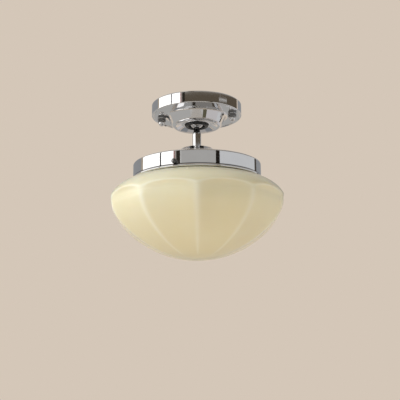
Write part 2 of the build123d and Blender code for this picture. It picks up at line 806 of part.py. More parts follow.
with BuildPart() as globe:
    globe_z = bulb_bottom + bulb_globe_radius
    neck_end = bulb_cap_bottom + bulb_neck_insert
    with BuildSketch(Plane.XZ):
        with BuildLine():
            Line((bulb_neck_radius, neck_end), (bulb_neck_radius, bulb_cap_bottom))
            Bezier(
                (bulb_neck_radius, bulb_cap_bottom),
                (bulb_neck_radius, bulb_cap_bottom - bulb_shoulder),
                (bulb_globe_radius, globe_z + bulb_shoulder),
                (bulb_globe_radius, globe_z),
            )
            TangentArc((bulb_globe_radius, globe_z), (0, bulb_bottom), tangent=(0, -1))
            Line((0, bulb_bottom), (0, bulb_bottom + bulb_wall))
            TangentArc((0, bulb_bottom + bulb_wall), (bulb_globe_radius - bulb_wall, globe_z), tangent=(1, 0))
            Bezier(
                (bulb_globe_radius - bulb_wall, globe_z),
                (bulb_globe_radius - bulb_wall, globe_z + bulb_shoulder),
                (bulb_neck_radius - bulb_wall, bulb_cap_bottom - bulb_shoulder),
                (bulb_neck_radius - bulb_wall, bulb_cap_bottom),
            )
            Polyline(
                (bulb_neck_radius - bulb_wall, bulb_cap_bottom),
                (bulb_neck_radius - bulb_wall, neck_end),
                (bulb_neck_radius, neck_end),
            )
        make_face()
    revolve(axis=Axis.Z)
globe.part.label = "bulb_globe"
export_step(globe.part, "parts/bulb_globe.step")

# Leads: one pair from the terminal block to above the ball, one pair down the stem to the lampholder
lead_end_z = lead_top + lead_gap + lead_radius
for name, side in (("live", 1), ("neutral", -1)):
    pole = side * block_pole_spacing / 2
    supply_points = (
        bracket_plane.from_local_coords(Vector(-block_offset - lead_insert, pole, block_entry_z)),
        bracket_plane.from_local_coords(Vector(-block_offset + 2 * lead_bend, pole, block_entry_z)),
        bracket_plane.from_local_coords(Vector(-lead_bend, side * lead_spread, lead_end_z)),
        bracket_plane.from_local_coords(Vector(lead_spread, side * lead_spread, lead_end_z)),
    )
    with BuildPart() as supply_lead:
        with BuildLine() as supply_path:
            FilletPolyline(*supply_points, radius=lead_bend)
        with BuildSketch(Plane(origin=supply_path.line @ 0, z_dir=supply_path.line % 0)):
            Circle(lead_radius)
        sweep(path=supply_path.line)
    supply_lead.part.label = f"supply_lead_{name}"
    export_step(supply_lead.part, f"parts/supply_lead_{name}.step")

    spread_z = insert_top + lead_slope / 2
    drop_points = (
        bracket_plane.from_local_coords(Vector(0, side * lead_spread, lead_top)),
        bracket_plane.from_local_coords(Vector(0, side * lead_spread, spread_z + lead_slope)),
        bracket_plane.from_local_coords(Vector(0, side * terminal_offset, spread_z)),
        bracket_plane.from_local_coords(Vector(0, side * terminal_offset, insert_top - lead_insert)),
    )
    with BuildPart() as drop_lead:
        with BuildLine() as drop_path:
            FilletPolyline(*drop_points, radius=lead_bend)
        with BuildSketch(Plane(origin=drop_path.line @ 0, z_dir=drop_path.line % 0)):
            Circle(lead_radius)
        sweep(path=drop_path.line)
    drop_lead.part.label = f"drop_lead_{name}"
    export_step(drop_lead.part, f"parts/drop_lead_{name}.step")
    for lead, path in ((supply_lead, supply_path), (drop_lead, drop_path)):
        length = path.wires()[0].length
        share = lead.part.volume / (pi * lead_radius**2 * length)
        print(lead.part.label, "length", round(length, 1), "volume share", round(share, 3))

print("bottom of the glass", round(base_z, 2), "ball centre", round(ball_z, 2))
print("height of the thumbscrews", round(screw_z, 2))
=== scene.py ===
import bpy
from math import ceil, cos, exp, log, pi, radians, sin, sqrt, tan
from mathutils import Matrix, Vector


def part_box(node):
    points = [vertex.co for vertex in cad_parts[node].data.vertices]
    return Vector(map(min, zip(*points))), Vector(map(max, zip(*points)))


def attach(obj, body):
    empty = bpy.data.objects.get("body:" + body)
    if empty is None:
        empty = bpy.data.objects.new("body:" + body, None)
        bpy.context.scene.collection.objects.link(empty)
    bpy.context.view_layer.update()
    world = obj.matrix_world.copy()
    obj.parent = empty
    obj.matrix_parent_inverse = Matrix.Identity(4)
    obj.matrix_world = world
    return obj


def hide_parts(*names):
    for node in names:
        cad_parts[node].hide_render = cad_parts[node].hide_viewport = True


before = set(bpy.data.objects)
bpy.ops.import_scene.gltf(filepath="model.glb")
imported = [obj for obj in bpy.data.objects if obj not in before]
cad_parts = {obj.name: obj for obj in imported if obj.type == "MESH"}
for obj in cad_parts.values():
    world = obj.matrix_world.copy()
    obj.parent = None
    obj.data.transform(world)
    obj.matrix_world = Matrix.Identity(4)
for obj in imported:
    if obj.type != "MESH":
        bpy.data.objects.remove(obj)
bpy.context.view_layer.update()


# Ceiling bracket, studs, nuts and washers
# A punched steel strap screwed to the ceiling, with two studs locked in it by nuts.
# All are bright zinc plate: bluish grey, a little mottled, with a satin gloss.
class Signal:
    """A value in a finish: arithmetic on it adds Math nodes."""

    def __init__(self, finish, socket):
        self.finish = finish
        self.socket = socket

    def math(self, operation, *values):
        return self.finish.node("ShaderNodeMath", {"operation": operation}, dict(enumerate(values)))

    def __add__(self, other):
        return self.math("ADD", self, other)

    def __radd__(self, other):
        return self.math("ADD", other, self)

    def __mul__(self, other):
        return self.math("MULTIPLY", self, other)

    def __rmul__(self, other):
        return self.math("MULTIPLY", other, self)

    def __pow__(self, other):
        return self.math("POWER", self, other)


class Finish:
    """A surface finish: a material with one Principled shader, and nodes that vary it."""

    def __init__(self, name, constants):
        self.material = bpy.data.materials.new(name)
        self.material.use_nodes = True
        self.tree = self.material.node_tree
        self.shader = self.tree.nodes["Principled BSDF"]
        self.plug(self.shader, constants)

    def plug(self, node, sockets):
        for key, value in sockets.items():
            if isinstance(value, Signal):
                self.tree.links.new(value.socket, node.inputs[key])
            else:
                node.inputs[key].default_value = value

    def node(self, kind, settings, sockets, output=0):
        node = self.tree.nodes.new(kind)
        for key, value in settings.items():
            setattr(node, key, value)
        self.plug(node, sockets)
        return Signal(self, node.outputs[output])

    def vary(self, sockets):
        self.plug(self.shader, sockets)

    def place(self, scale=(1, 1, 1)):
        coordinates = self.node("ShaderNodeTexCoord", {}, {}, "Object")
        return self.node("ShaderNodeMapping", {}, {"Vector": coordinates, "Scale": scale})

    def noise(self, place, scale, detail=2.0):
        return self.node("ShaderNodeTexNoise", {}, {"Vector": place, "Scale": scale, "Detail": detail})

    def blend(self, factor, low, high):
        settings = {"data_type": "RGBA"}
        return self.node("ShaderNodeMix", settings, {0: factor, 6: (*low, 1), 7: (*high, 1)}, 2)

    def bump(self, height, depth):
        return self.node("ShaderNodeBump", {}, {"Height": height, "Distance": depth, "Strength": 1.0})

    def put_on(self, *names):
        for name in names:
            slots = bpy.data.objects[name].data.materials
            slots.clear()
            slots.append(self.material)


zinc = Finish("zinc_plate", {"Metallic": 1.0})
zinc_mottle = zinc.noise(zinc.place(), 160.0, 4.0)
zinc.vary({
    "Base Color": zinc.blend(zinc_mottle, (0.50, 0.51, 0.53), (0.68, 0.68, 0.66)),
    "Roughness": 0.26 + 0.18 * zinc_mottle,
    "Normal": zinc.bump(zinc.noise(zinc.place(), 900.0), 0.00003),
})
zinc.put_on("ceiling_bracket", "canopy_stud_1", "canopy_stud_2", "stud_lock_nut_1", "stud_lock_nut_2")
zinc.put_on("cap_nut_washer_1", "cap_nut_washer_2", "gallery_washer", "gallery_nut")
zinc.put_on("terminal_block_screw", "terminal_clamp_screws")

# Earth screw, terminal block and leads
# A brass screw and washer for the earth, a moulded nylon block with two poles, and PVC-covered leads
# that run from the block to the ball and on down the stem to the lampholder.
brass = Finish("brass", {"Metallic": 1.0})
brass_tarnish = brass.noise(brass.place(), 210.0, 5.0)
brass.vary({
    "Base Color": brass.blend(brass_tarnish, (0.62, 0.44, 0.17), (0.80, 0.62, 0.30)),
    "Roughness": 0.18 + 0.22 * brass_tarnish,
})
brass.put_on("earth_screw", "earth_washer", "screw_boss_1", "screw_boss_2", "screw_boss_3")

nylon = Finish("natural_nylon", {"Subsurface Weight": 0.1, "Subsurface Scale": 0.002})
nylon_cloud = nylon.noise(nylon.place(), 130.0, 3.0)
nylon.vary({
    "Base Color": nylon.blend(nylon_cloud, (0.74, 0.72, 0.64), (0.82, 0.80, 0.74)),
    "Roughness": 0.38 + 0.12 * nylon_cloud,
    "Normal": nylon.bump(nylon.noise(nylon.place(), 1500.0), 0.00003),
})
nylon.put_on("terminal_block")

for lead_name, lead_dark, lead_light in (
    ("live", (0.075, 0.028, 0.012), (0.120, 0.046, 0.020)),
    ("neutral", (0.012, 0.040, 0.220), (0.022, 0.070, 0.300)),
):
    cover = Finish(f"{lead_name}_lead_cover", {})
    cover_scuff = cover.noise(cover.place(), 240.0, 3.0)
    cover.vary({
        "Base Color": cover.blend(cover_scuff, lead_dark, lead_light),
        "Roughness": 0.30 + 0.20 * cover_scuff,
    })
    cover.put_on(f"supply_lead_{lead_name}", f"drop_lead_{lead_name}")


# Canopy
# A cover spun from sheet brass and chromed: a band against the ceiling with a rolled rim, a flat flange for
# the cap nuts, a tapered tier with a dished base, and a small rolled lip round the mouth of the swivel.
edge_hold = 0.0002
spun_wave = 0.00006
spun_lines = 5200.0


def rounded(corners, steps=7):
    """Points of an outline in (radius, height) whose corners, each (radius, height, fillet), are rounded."""
    points = []
    for index, (x, z, fillet) in enumerate(corners):
        corner = Vector((x, z))
        if not fillet:
            points.append(corner)
            continue
        back = (Vector(corners[index - 1][:2]) - corner).normalized()
        ahead = (Vector(corners[index + 1][:2]) - corner).normalized()
        half = back.angle(ahead) / 2
        centre = corner + (back + ahead).normalized() * fillet / sin(half)
        reach = fillet / tan(half)
        start = corner + back * reach - centre
        turn = start.angle_signed(corner + ahead * reach - centre)
        points.append(corner + back * (reach + edge_hold))
        for step in range(steps + 1):
            points.append(centre + Matrix.Rotation(-turn * step / steps, 2) @ start)
        points.append(corner + ahead * (reach + edge_hold))
    return points


def arc(centre, radius, start, end, steps):
    """Points along an arc in (radius, height), from one angle to another in degrees."""
    angles = [radians(start + (end - start) * step / steps) for step in range(steps + 1)]
    return [Vector((centre[0] + radius * cos(a), centre[1] + radius * sin(a))) for a in angles]


def spun(name, outline, steps=160):
    """A piece spun on the lathe: the outline's points are extruded one by one and turned about the axis."""
    bpy.ops.object.select_all(action="DESELECT")
    bpy.ops.mesh.primitive_plane_add(size=0.001)
    piece = bpy.context.object
    piece.name = name
    bpy.ops.object.mode_set(mode="EDIT")
    bpy.ops.mesh.select_all(action="SELECT")
    bpy.ops.mesh.merge(type="CENTER")
    bpy.ops.transform.translate(value=(outline[0].x, 0, outline[0].y))
    for before, after in zip(outline, outline[1:]):
        move = (after.x - before.x, 0, after.y - before.y)
        bpy.ops.mesh.extrude_region_move(TRANSFORM_OT_translate={"value": move})
    bpy.ops.mesh.select_all(action="SELECT")
    bpy.ops.mesh.remove_doubles(threshold=1e-6)
    bpy.ops.mesh.spin(steps=steps, angle=2 * pi, center=(0, 0, 0), axis=(0, 0, 1))
    bpy.ops.mesh.select_all(action="SELECT")
    bpy.ops.mesh.remove_doubles(threshold=1e-6)
    bpy.ops.mesh.normals_make_consistent(inside=False)
    bpy.ops.object.mode_set(mode="OBJECT")
    return piece


def walled(piece, wall):
    """Gives a spun sheet its wall, on the inner side, and smooths all but its sharp edges."""
    solidify = piece.modifiers.new("wall", "SOLIDIFY")
    solidify.thickness = wall
    solidify.offset = -1
    bpy.ops.object.modifier_apply(modifier=solidify.name)
    bpy.ops.object.shade_smooth_by_angle(angle=radians(40))


def chromed(name, wave_depth, crease=None):
    """Polished chrome: a near mirror, faintly wiped, spun and wavy, with painted shade darkening any crease.
    """
    chrome = Finish(name, {"Metallic": 1.0})
    wipe = chrome.noise(chrome.place((1, 1, 3)), 55.0, 5.0)
    axes = [chrome.node("ShaderNodeSeparateXYZ", {}, {0: chrome.place()}, axis) for axis in "XYZ"]
    reach = (axes[0] * axes[0] + axes[1] * axes[1]) ** 0.5
    lines = ((reach + axes[2]) * spun_lines).math("SINE")
    wipe_and_crease_shade = 0.1 * wipe
    # Painted shade: the band is painted near black in a strip from just under the crease to about 1.7 mm
    # above it, but not on the bead that stands out beyond it.
    if crease is not None:
        crease_radius, crease_height = crease
        fade = {0: axes[2], 1: crease_height + 0.0010, 2: crease_height + 0.0017, 3: 0.9, 4: 0.0}
        foot = {0: axes[2], 1: crease_height - 0.0005, 2: crease_height - 0.0002, 3: 0.0, 4: 1.0}
        side = {0: reach, 1: crease_radius + 0.0001, 2: crease_radius + 0.0005, 3: 1.0, 4: 0.0}
        crease_shade = chrome.node("ShaderNodeMapRange", {}, fade) * chrome.node("ShaderNodeMapRange", {}, foot)
        wipe_and_crease_shade += crease_shade * chrome.node("ShaderNodeMapRange", {}, side)
    chrome.vary({
        "Base Color": chrome.blend(wipe_and_crease_shade, (0.86, 0.86, 0.87), (0.05, 0.045, 0.04)),
        "Roughness": 0.02 + 0.04 * wipe + 0.004 * lines,
        "Normal": chrome.bump(chrome.noise(chrome.place(), 26.0, 1.0), wave_depth),
    })
    return chrome


canopy_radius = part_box("canopy")[1].x
canopy_wall = 0.0012
band_depth = 0.0135
rim_depth = 0.0005
rim_width = 0.0022
tier_root = 0.0353
tier_rim = 0.0279
tier_depth = 0.0288
land_radius = 0.0180
land_depth = 0.0232
mouth_radius = 0.0141
lip_radius = 0.0011
canopy_outline = rounded([
    (canopy_radius - 0.0030, 0.0, 0),
    (canopy_radius, 0.0, 0.0016),
    (canopy_radius, -band_depth - rim_depth, 0.0008),
    (canopy_radius - rim_width, -band_depth - rim_depth, 0.0008),
    (canopy_radius - rim_width - rim_depth, -band_depth, 0.0003),
    (tier_root, -band_depth, 0.0043),
    (tier_rim, -tier_depth, 0.0045),
    (land_radius, -land_depth, 0.0020),
    (mouth_radius + 2.4 * lip_radius, -land_depth, 0),
])
canopy_outline += arc((mouth_radius + lip_radius, -land_depth), lip_radius, 0, -180, 10)
canopy_cover = spun("canopy_cover", canopy_outline)
walled(canopy_cover, canopy_wall)
chrome = chromed("polished_chrome", spun_wave)
chrome.put_on("canopy_cover")
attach(canopy_cover, "ceiling_base")
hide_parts("canopy")


# Cap nuts
# Turned brass nuts with a hexagon and a ball end, chromed, that hold the canopy up on its studs.
# Each is a merged copy of its solid with the edges eased; the hexagon under the flange is painted dark, as
# painted shade.
def eased(node, name, ease):
    """A merged copy of a solid with eased edges, which stands for it."""
    bpy.ops.object.select_all(action="DESELECT")
    piece = bpy.data.objects.new(name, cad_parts[node].data.copy())
    bpy.context.collection.objects.link(piece)
    bpy.context.view_layer.objects.active = piece
    piece.select_set(True)
    bpy.ops.mesh.customdata_custom_splitnormals_clear()
    bpy.ops.object.mode_set(mode="EDIT")
    bpy.ops.mesh.select_all(action="SELECT")
    bpy.ops.mesh.remove_doubles(threshold=2e-6)
    bpy.ops.mesh.dissolve_limited(angle_limit=radians(0.5))
    bpy.ops.object.mode_set(mode="OBJECT")
    bevel = piece.modifiers.new("ease", "BEVEL")
    bevel.width = ease
    bevel.segments = 2
    bevel.angle_limit = radians(32)
    bpy.ops.object.modifier_apply(modifier=bevel.name)
    bpy.ops.object.shade_smooth_by_angle(angle=radians(32))
    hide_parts(node)
    return piece


nut_chrome = Finish("cap_nut_chrome", {"Metallic": 1.0})
nut_wipe = nut_chrome.noise(nut_chrome.place(), 420.0, 4.0)
nut_height = nut_chrome.node("ShaderNodeSeparateXYZ", {}, {0: nut_chrome.place()}, "Z")
# Painted shade: each nut is painted dark and made rougher towards the flange, over its hexagon.
nut_painted_shade = nut_chrome.node("ShaderNodeMapRange", {}, {0: nut_height, 1: -0.0186, 2: -0.0172, 3: 0.0, 4: 0.8})
nut_chrome.vary({
    "Base Color": nut_chrome.blend(nut_painted_shade + 0.12 * nut_wipe, (0.86, 0.86, 0.87), (0.10, 0.095, 0.09)),
    "Roughness": 0.03 + 0.05 * nut_wipe + 0.08 * nut_painted_shade,
})
for index, side in ((1, "left"), (2, "right")):
    cap_nut = eased(f"cap_nut_{index}", f"ball_cap_nut_{index}", 0.00025)
    nut_chrome.put_on(cap_nut.name)
    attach(cap_nut, f"cap_nut_{side}")

# Seat ring and lead bushing
# Moulded black nylon: the ring in the canopy's mouth that the ball turns in, and the bushing that
# keeps the leads off the ball's edge. Satin, with the fine grain of the mould.
black_nylon = Finish("black_nylon", {})
nylon_wear = black_nylon.noise(black_nylon.place(), 180.0, 4.0)
black_nylon.vary({
    "Base Color": black_nylon.blend(nylon_wear, (0.010, 0.010, 0.011), (0.030, 0.030, 0.031)),
    "Roughness": 0.30 + 0.22 * nylon_wear,
    "Normal": black_nylon.bump(black_nylon.noise(black_nylon.place(), 2400.0), 0.00002),
})
black_nylon.put_on("seat_ring", "lead_bushing")

# Swivel ball, stem and collar
# The ball and its neck are turned in one piece and screwed into the tube of the stem; the collar sits on
# the gallery. All are polished and chromed with the canopy, and the ball's chrome is painted darker, as
# painted shade.
chrome.put_on("stem", "stem_collar")
ball_shaded_chrome = Finish("shade_darkened_chrome", {"Metallic": 1.0})
# Painted shade: the ball and its neck are painted a darker chrome than the canopy, mottled at random.
ball_shade_mottle = ball_shaded_chrome.noise(ball_shaded_chrome.place((1, 1, 0.5)), 130.0, 4.0)
ball_shaded_chrome.vary({
    "Base Color": ball_shaded_chrome.blend(ball_shade_mottle, (0.46, 0.46, 0.46), (0.80, 0.79, 0.78)),
    "Roughness": 0.03 + 0.06 * ball_shade_mottle,
})
ball_shaded_chrome.put_on("swivel_ball")

# Gallery
# A cover spun from sheet brass and chromed: a low wide crown round the stem, a shallow cone, a plain
# band with a crisp upper edge, and a rolled bead at the lower edge. The crease above the bead is
# painted dark, as painted shade.
gallery_low, gallery_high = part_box("gallery")
gallery_top = gallery_high.z
gallery_radius = 0.0750
gallery_wall = 0.0012
stem_hole = 0.00515
hub_radius = 0.0095
crown_radius = 0.0200
crown_fall = 0.0026
crown_root_radius = 0.0250
crown_root_fall = 0.0066
band_height = 0.0179
bead_radius = 0.00135
bead_offset = 0.0006
bead_height = gallery_low.z + bead_radius
bead_start = 116.4
band_foot = bead_height + bead_radius * sin(radians(bead_start))
band_top = bead_height + band_height
gallery_outline = rounded([
    (stem_hole, gallery_top, 0),
    (hub_radius, gallery_top, 0.0030),
    (crown_radius, gallery_top - crown_fall, 0.0020),
    (crown_root_radius, gallery_top - crown_root_fall, 0.0030),
    (gallery_radius, band_top, 0.0016),
    (gallery_radius, band_foot, 0),
])
gallery_outline += arc((gallery_radius + bead_offset, bead_height), bead_radius, bead_start, -180, 20)[1:]
gallery_cover = spun("gallery_cover", gallery_outline)
walled(gallery_cover, gallery_wall)
# The crease above the bead is painted dark, as painted shade.
gallery_chrome = chromed("gallery_chrome", spun_wave, (gallery_radius, band_foot))
gallery_chrome.put_on("gallery_cover")
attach(gallery_cover, "drop")
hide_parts("gallery")

# Thumbscrews
# Three turned brass screws with knurled heads, nickelled, that bear on the neck of the glass.
# The nickel is painted dark, mottled at random, as painted shade in the knurls.
knurled = Finish("knurled_nickel", {"Metallic": 1.0})
# Painted shade: the heads are painted from near black to mid grey at random, far darker than nickel.
knurl_shade_mottle = knurled.noise(knurled.place(), 700.0, 4.0)
knurled.vary({
    "Base Color": knurled.blend(knurl_shade_mottle, (0.03, 0.03, 0.03), (0.36, 0.355, 0.35)),
    "Roughness": 0.10 + 0.16 * knurl_shade_mottle,
})
for index, side in ((1, "front"), (2, "right"), (3, "back")):
    thumbscrew = eased(f"thumbscrew_{index}", f"knurled_thumbscrew_{index}", 0.00012)
    knurled.put_on(thumbscrew.name)
    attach(thumbscrew, f"thumbscrew_{side}")

# Lampholder
# A black phenolic cap and skirt with the faint swirl of the moulding, a ceramic insert, and a brass
# threaded sleeve, contact and terminal screws.
phenolic = Finish("black_phenolic", {"Coat Weight": 0.2, "Coat Roughness": 0.15})
phenolic_swirl = phenolic.noise(phenolic.place((1, 1, 0.4)), 90.0, 6.0)
phenolic.vary({
    "Base Color": phenolic.blend(phenolic_swirl, (0.008, 0.007, 0.006), (0.030, 0.024, 0.019)),
    "Roughness": 0.20 + 0.16 * phenolic_swirl,
})
phenolic.put_on("lampholder_cap", "lampholder_skirt")

ceramic = Finish("white_ceramic", {})
ceramic_grain = ceramic.noise(ceramic.place(), 420.0, 4.0)
ceramic.vary({
    "Base Color": ceramic.blend(ceramic_grain, (0.74, 0.72, 0.66), (0.84, 0.83, 0.79)),
    "Roughness": 0.55 + 0.15 * ceramic_grain,
    "Normal": ceramic.bump(ceramic_grain, 0.00004),
})
ceramic.put_on("lampholder_insert")
brass.put_on("lampholder_sleeve", "lampholder_contact", "lampholder_screws")

# Bulb
# An opal glass globe cemented in a rolled aluminium screw cap, with a black glass insulator and a
# soldered contact tip.
opal_white = Finish("white_opal_glass", {
    "Subsurface Weight": 0.2,
    "Subsurface Scale": 0.003,
    "Coat Weight": 0.5,
})
opal_cloud = opal_white.noise(opal_white.place(), 45.0, 3.0)
opal_white.vary({
    "Base Color": opal_white.blend(opal_cloud, (0.80, 0.80, 0.78), (0.86, 0.86, 0.84)),
    "Roughness": 0.16 + 0.08 * opal_cloud,
})
opal_white.put_on("bulb_globe")

aluminium = Finish("rolled_aluminium", {"Metallic": 1.0})
aluminium_scuff = aluminium.noise(aluminium.place((1, 1, 4)), 260.0, 4.0)
aluminium.vary({
    "Base Color": aluminium.blend(aluminium_scuff, (0.62, 0.62, 0.63), (0.76, 0.76, 0.77)),
    "Roughness": 0.24 + 0.20 * aluminium_scuff,
})
aluminium.put_on("bulb_cap", "bulb_tip")

black_glass = Finish("black_glass", {})
black_glass_cloud = black_glass.noise(black_glass.place(), 300.0, 3.0)
black_glass.vary({
    "Base Color": black_glass.blend(black_glass_cloud, (0.006, 0.006, 0.007), (0.016, 0.015, 0.015)),
    "Roughness": 0.08 + 0.12 * black_glass_cloud,
})
black_glass.put_on("bulb_insulator")

# Glass shade
# Cream opal glass blown in a mould: a straight neck, a round shoulder, and ten flat panels that run out
# in arches under the shoulder and fade into a smooth round base. The mould leaves every edge soft.
shade_low, shade_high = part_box("glass_shade")
panel_count = 10
panel_half = pi / panel_count
neck_radius = 0.0705
neck_height = 0.0150
glass_wall = 0.0035
belly_radius = 0.10315
flat_radius = 0.09796
shoulder_z = shade_high.z - neck_height
belly_z = shoulder_z - 0.02665
scoop_z = belly_z - 0.0001
scoop_radius = 0.0115
pole_z = scoop_z - 0.0665
base_z = shade_low.z
base_radius = 0.130
ridge_softness = 0.00105
arch_softness = 0.00115
base_softness = 0.00050
pole_reach = 0.015
# Widths of the painted highlight along the ridges (a share of a panel's half width) and along the arches.
ridge_highlight_width = 0.11
arch_highlight_width = 0.0012
base_fade = 0.0010
columns_per_panel = 28


def bezier(points, t):
    """A point on a cubic curve in (radius, height)."""
    weights = ((1 - t) ** 3, 3 * t * (1 - t) ** 2, 3 * t * t * (1 - t), t**3)
    return Vector([sum(w * p[axis] for w, p in zip(weights, points)) for axis in (0, 1)])


shoulder_curve = (
    (neck_radius, shoulder_z),
    (neck_radius + 0.0180, shoulder_z - 0.0012),
    (belly_radius, belly_z + 0.0115),
    (belly_radius, belly_z),
)
panel_curve = (
    (flat_radius, scoop_z),
    (flat_radius, scoop_z - 0.0285),
    (0.0440, pole_z),
    (0.0, pole_z),
)


def shoulder_radius(z):
    """Radius of the round shoulder at a height, by halving along its curve."""
    low, high = 0.0, 1.0
    for _ in range(30):
        middle = (low + high) / 2
        if bezier(shoulder_curve, middle).y > z:
            low = middle
        else:
            high = middle
    return bezier(shoulder_curve, low).x


def soft_least(first, second, softness):
    """The lesser of two lengths, with the edge between them softened."""
    least = min(first, second)
    return least - softness * log(1 + exp(-abs(first - second) / softness))


def panel_radius(reach, angle):
    """Radius at an angle round the axis of the ten panels whose middles lie at this reach."""
    off = abs((angle + panel_half) % (2 * panel_half) - panel_half)
    softness = max(ridge_softness * min(reach / pole_reach, 1.0), 1e-9)
    return max(soft_least(reach / cos(off), reach / cos(2 * panel_half - off), softness), 0.0)


def scoop_reach(z):
    """Reach of a panel's middle near its top, where it curves outwards in a hollow sweep."""
    rise = min(max(z - scoop_z, 0.0), scoop_radius)
    return flat_radius + scoop_radius - sqrt(scoop_radius**2 - rise**2)


def glass_rings():
    """Heights down the glass, each with the radius of the round form and the reach of the panels there."""
    rings = []
    for step in range(9):
        rings.append((shade_high.z + (shoulder_z + 0.0008 - shade_high.z) * step / 8, neck_radius, 1.0))
    arch_start = scoop_z + scoop_radius
    arch_end = scoop_z - 0.0012
    for step in range(33):
        point = bezier(shoulder_curve, (step / 32) ** 1.1)
        if point.y > arch_start:
            rings.append((point.y, point.x, 1.0))
    for step in range(41):
        z = arch_start + (arch_end - arch_start) * step / 40
        belly = shoulder_radius(z) if z > belly_z else belly_radius
        rings.append((z, belly, scoop_reach(z)))
    for step in range(1, 65):
        point = bezier(panel_curve, step / 64)
        if point.y < arch_end:
            rings.append((point.y, belly_radius, point.x))
    return rings


def panel_angle(column, columns):
    """Angle of a column of the mesh round the axis, with the columns drawn together at the ridges."""
    panel, share = divmod(column * panel_count / columns, 1)
    across = 2 * share - 1
    return 2 * panel_half * panel + panel_half * (0.68 * sin(across * pi / 2) + 0.32 * across)


columns = columns_per_panel * panel_count
rings = glass_rings()
bpy.ops.object.select_all(action="DESELECT")
bpy.ops.mesh.primitive_grid_add(x_subdivisions=columns, y_subdivisions=len(rings) - 1, size=2)
glass_bowl = bpy.context.object
glass_bowl.name = "glass_bowl"
# Painted highlight: each point gets a weight that is high along the ridges and the arches, and the glass is
# painted lighter there.
painted_edge_highlight = glass_bowl.data.attributes.new("painted_edge_highlight", "FLOAT", "POINT")
for vertex in glass_bowl.data.vertices:
    column = round((vertex.co.x + 1) / 2 * columns)
    z, belly, reach = rings[round((1 - vertex.co.y) / 2 * (len(rings) - 1))]
    angle = panel_angle(column % columns, columns)
    panel = panel_radius(reach, angle)
    radius = soft_least(belly, panel, arch_softness)
    dish_z = base_z + base_radius - sqrt(base_radius**2 - radius**2)
    ridge = exp(-(abs((angle / panel_half) % 2 - 1) / ridge_highlight_width) ** 2) if z < belly_z else 0.0
    ridge *= min(max((z - dish_z) / base_fade + 0.5, 0.0), 1.0)
    arch = exp(-((belly - panel) / arch_highlight_width) ** 2)
    painted_edge_highlight.data[vertex.index].value = max(ridge, arch)
    z = -soft_least(-z, -dish_z, base_softness)
    vertex.co = (radius * cos(angle), radius * sin(angle), z)
bpy.ops.object.mode_set(mode="EDIT")
bpy.ops.mesh.select_all(action="SELECT")
bpy.ops.mesh.remove_doubles(threshold=1e-6)
bpy.ops.mesh.normals_make_consistent(inside=False)
bpy.ops.object.mode_set(mode="OBJECT")
walled(glass_bowl, glass_wall)
bpy.ops.object.shade_smooth_by_angle(angle=radians(60))

cream_opal = Finish("cream_opal_glass", {
    "Subsurface Weight": 0.2,
    "Subsurface Radius": (1.0, 0.8, 0.5),
    "Subsurface Scale": 0.003,
    "IOR": 1.5,
    "Coat Weight": 0.4,
    "Coat Roughness": 0.10,
})
opal_streak = cream_opal.noise(cream_opal.place((1, 1, 0.25)), 38.0, 3.0)
opal_haze = cream_opal.noise(cream_opal.place(), 14.0, 2.0)
opal_painted_edges = cream_opal.node("ShaderNodeAttribute", {"attribute_name": "painted_edge_highlight"}, {}, "Fac")
# Painted highlight: the ridges and arches are painted paler than the panels, added to the random streaks and
# haze of the opal.
opal_tone_and_edge_highlight = 0.25 * opal_streak + 0.25 * opal_haze + 0.36 * opal_painted_edges
cream_opal.vary({
    "Base Color": cream_opal.blend(opal_tone_and_edge_highlight, (0.80, 0.71, 0.455), (0.95, 0.92, 0.79)),
    "Roughness": 0.20 + 0.12 * opal_haze,
})
cream_opal.put_on("glass_bowl")
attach(glass_bowl, "shade")
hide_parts("glass_shade")


# Floor, backdrop and studio cards
# A pale floor well below the light that fades into a pale backdrop, and curved cards round the light for
# the chrome to mirror: bright ones on the left, a pale one on the right, grey and dark ones between them.
backdrop_colour = (0.66, 0.57, 0.48)
bpy.ops.object.select_all(action="DESELECT")
bpy.ops.mesh.primitive_circle_add(vertices=96, radius=2.6, fill_type="NGON", location=(0, 0, -1.0))
floor = bpy.context.object
floor.name = "floor"
floor_finish = Finish("pale_floor", {"Base Color": (*backdrop_colour, 1), "Roughness": 0.9})
floor_place = floor_finish.place()
floor_axes = [floor_finish.node("ShaderNodeSeparateXYZ", {}, {0: floor_place}, axis) for axis in "XY"]
floor_reach = (floor_axes[0] * floor_axes[0] + floor_axes[1] * floor_axes[1]) ** 0.5
floor_fade = floor_finish.node("ShaderNodeMapRange", {"interpolation_type": "SMOOTHSTEP"},
                               {0: floor_reach, 1: 0.7, 2: 2.4, 3: 1.0, 4: 0.0})
floor_finish.vary({"Alpha": floor_fade})
floor_finish.put_on("floor")

world = bpy.data.worlds.new("backdrop")
bpy.context.scene.world = world
world.use_nodes = True
world_nodes = world.node_tree.nodes
world_links = world.node_tree.links
ambient = world_nodes["Background"]
ambient.inputs["Color"].default_value = (1.0, 0.94, 0.86, 1)
ambient.inputs["Strength"].default_value = 0.70
seen = world_nodes.new("ShaderNodeBackground")
seen.inputs["Color"].default_value = (*backdrop_colour, 1)
path = world_nodes.new("ShaderNodeLightPath")
either = None
for ray in ("Is Camera Ray", "Is Glossy Ray", "Is Transmission Ray"):
    if either is None:
        either = path.outputs[ray]
        continue
    most = world_nodes.new("ShaderNodeMath")
    most.operation = "MAXIMUM"
    world_links.new(either, most.inputs[0])
    world_links.new(path.outputs[ray], most.inputs[1])
    either = most.outputs[0]
choice = world_nodes.new("ShaderNodeMixShader")
world_links.new(either, choice.inputs[0])
world_links.new(ambient.outputs[0], choice.inputs[1])
world_links.new(seen.outputs[0], choice.inputs[2])
world_links.new(choice.outputs[0], world_nodes["World Output"].inputs["Surface"])

card_centre_z = -0.08


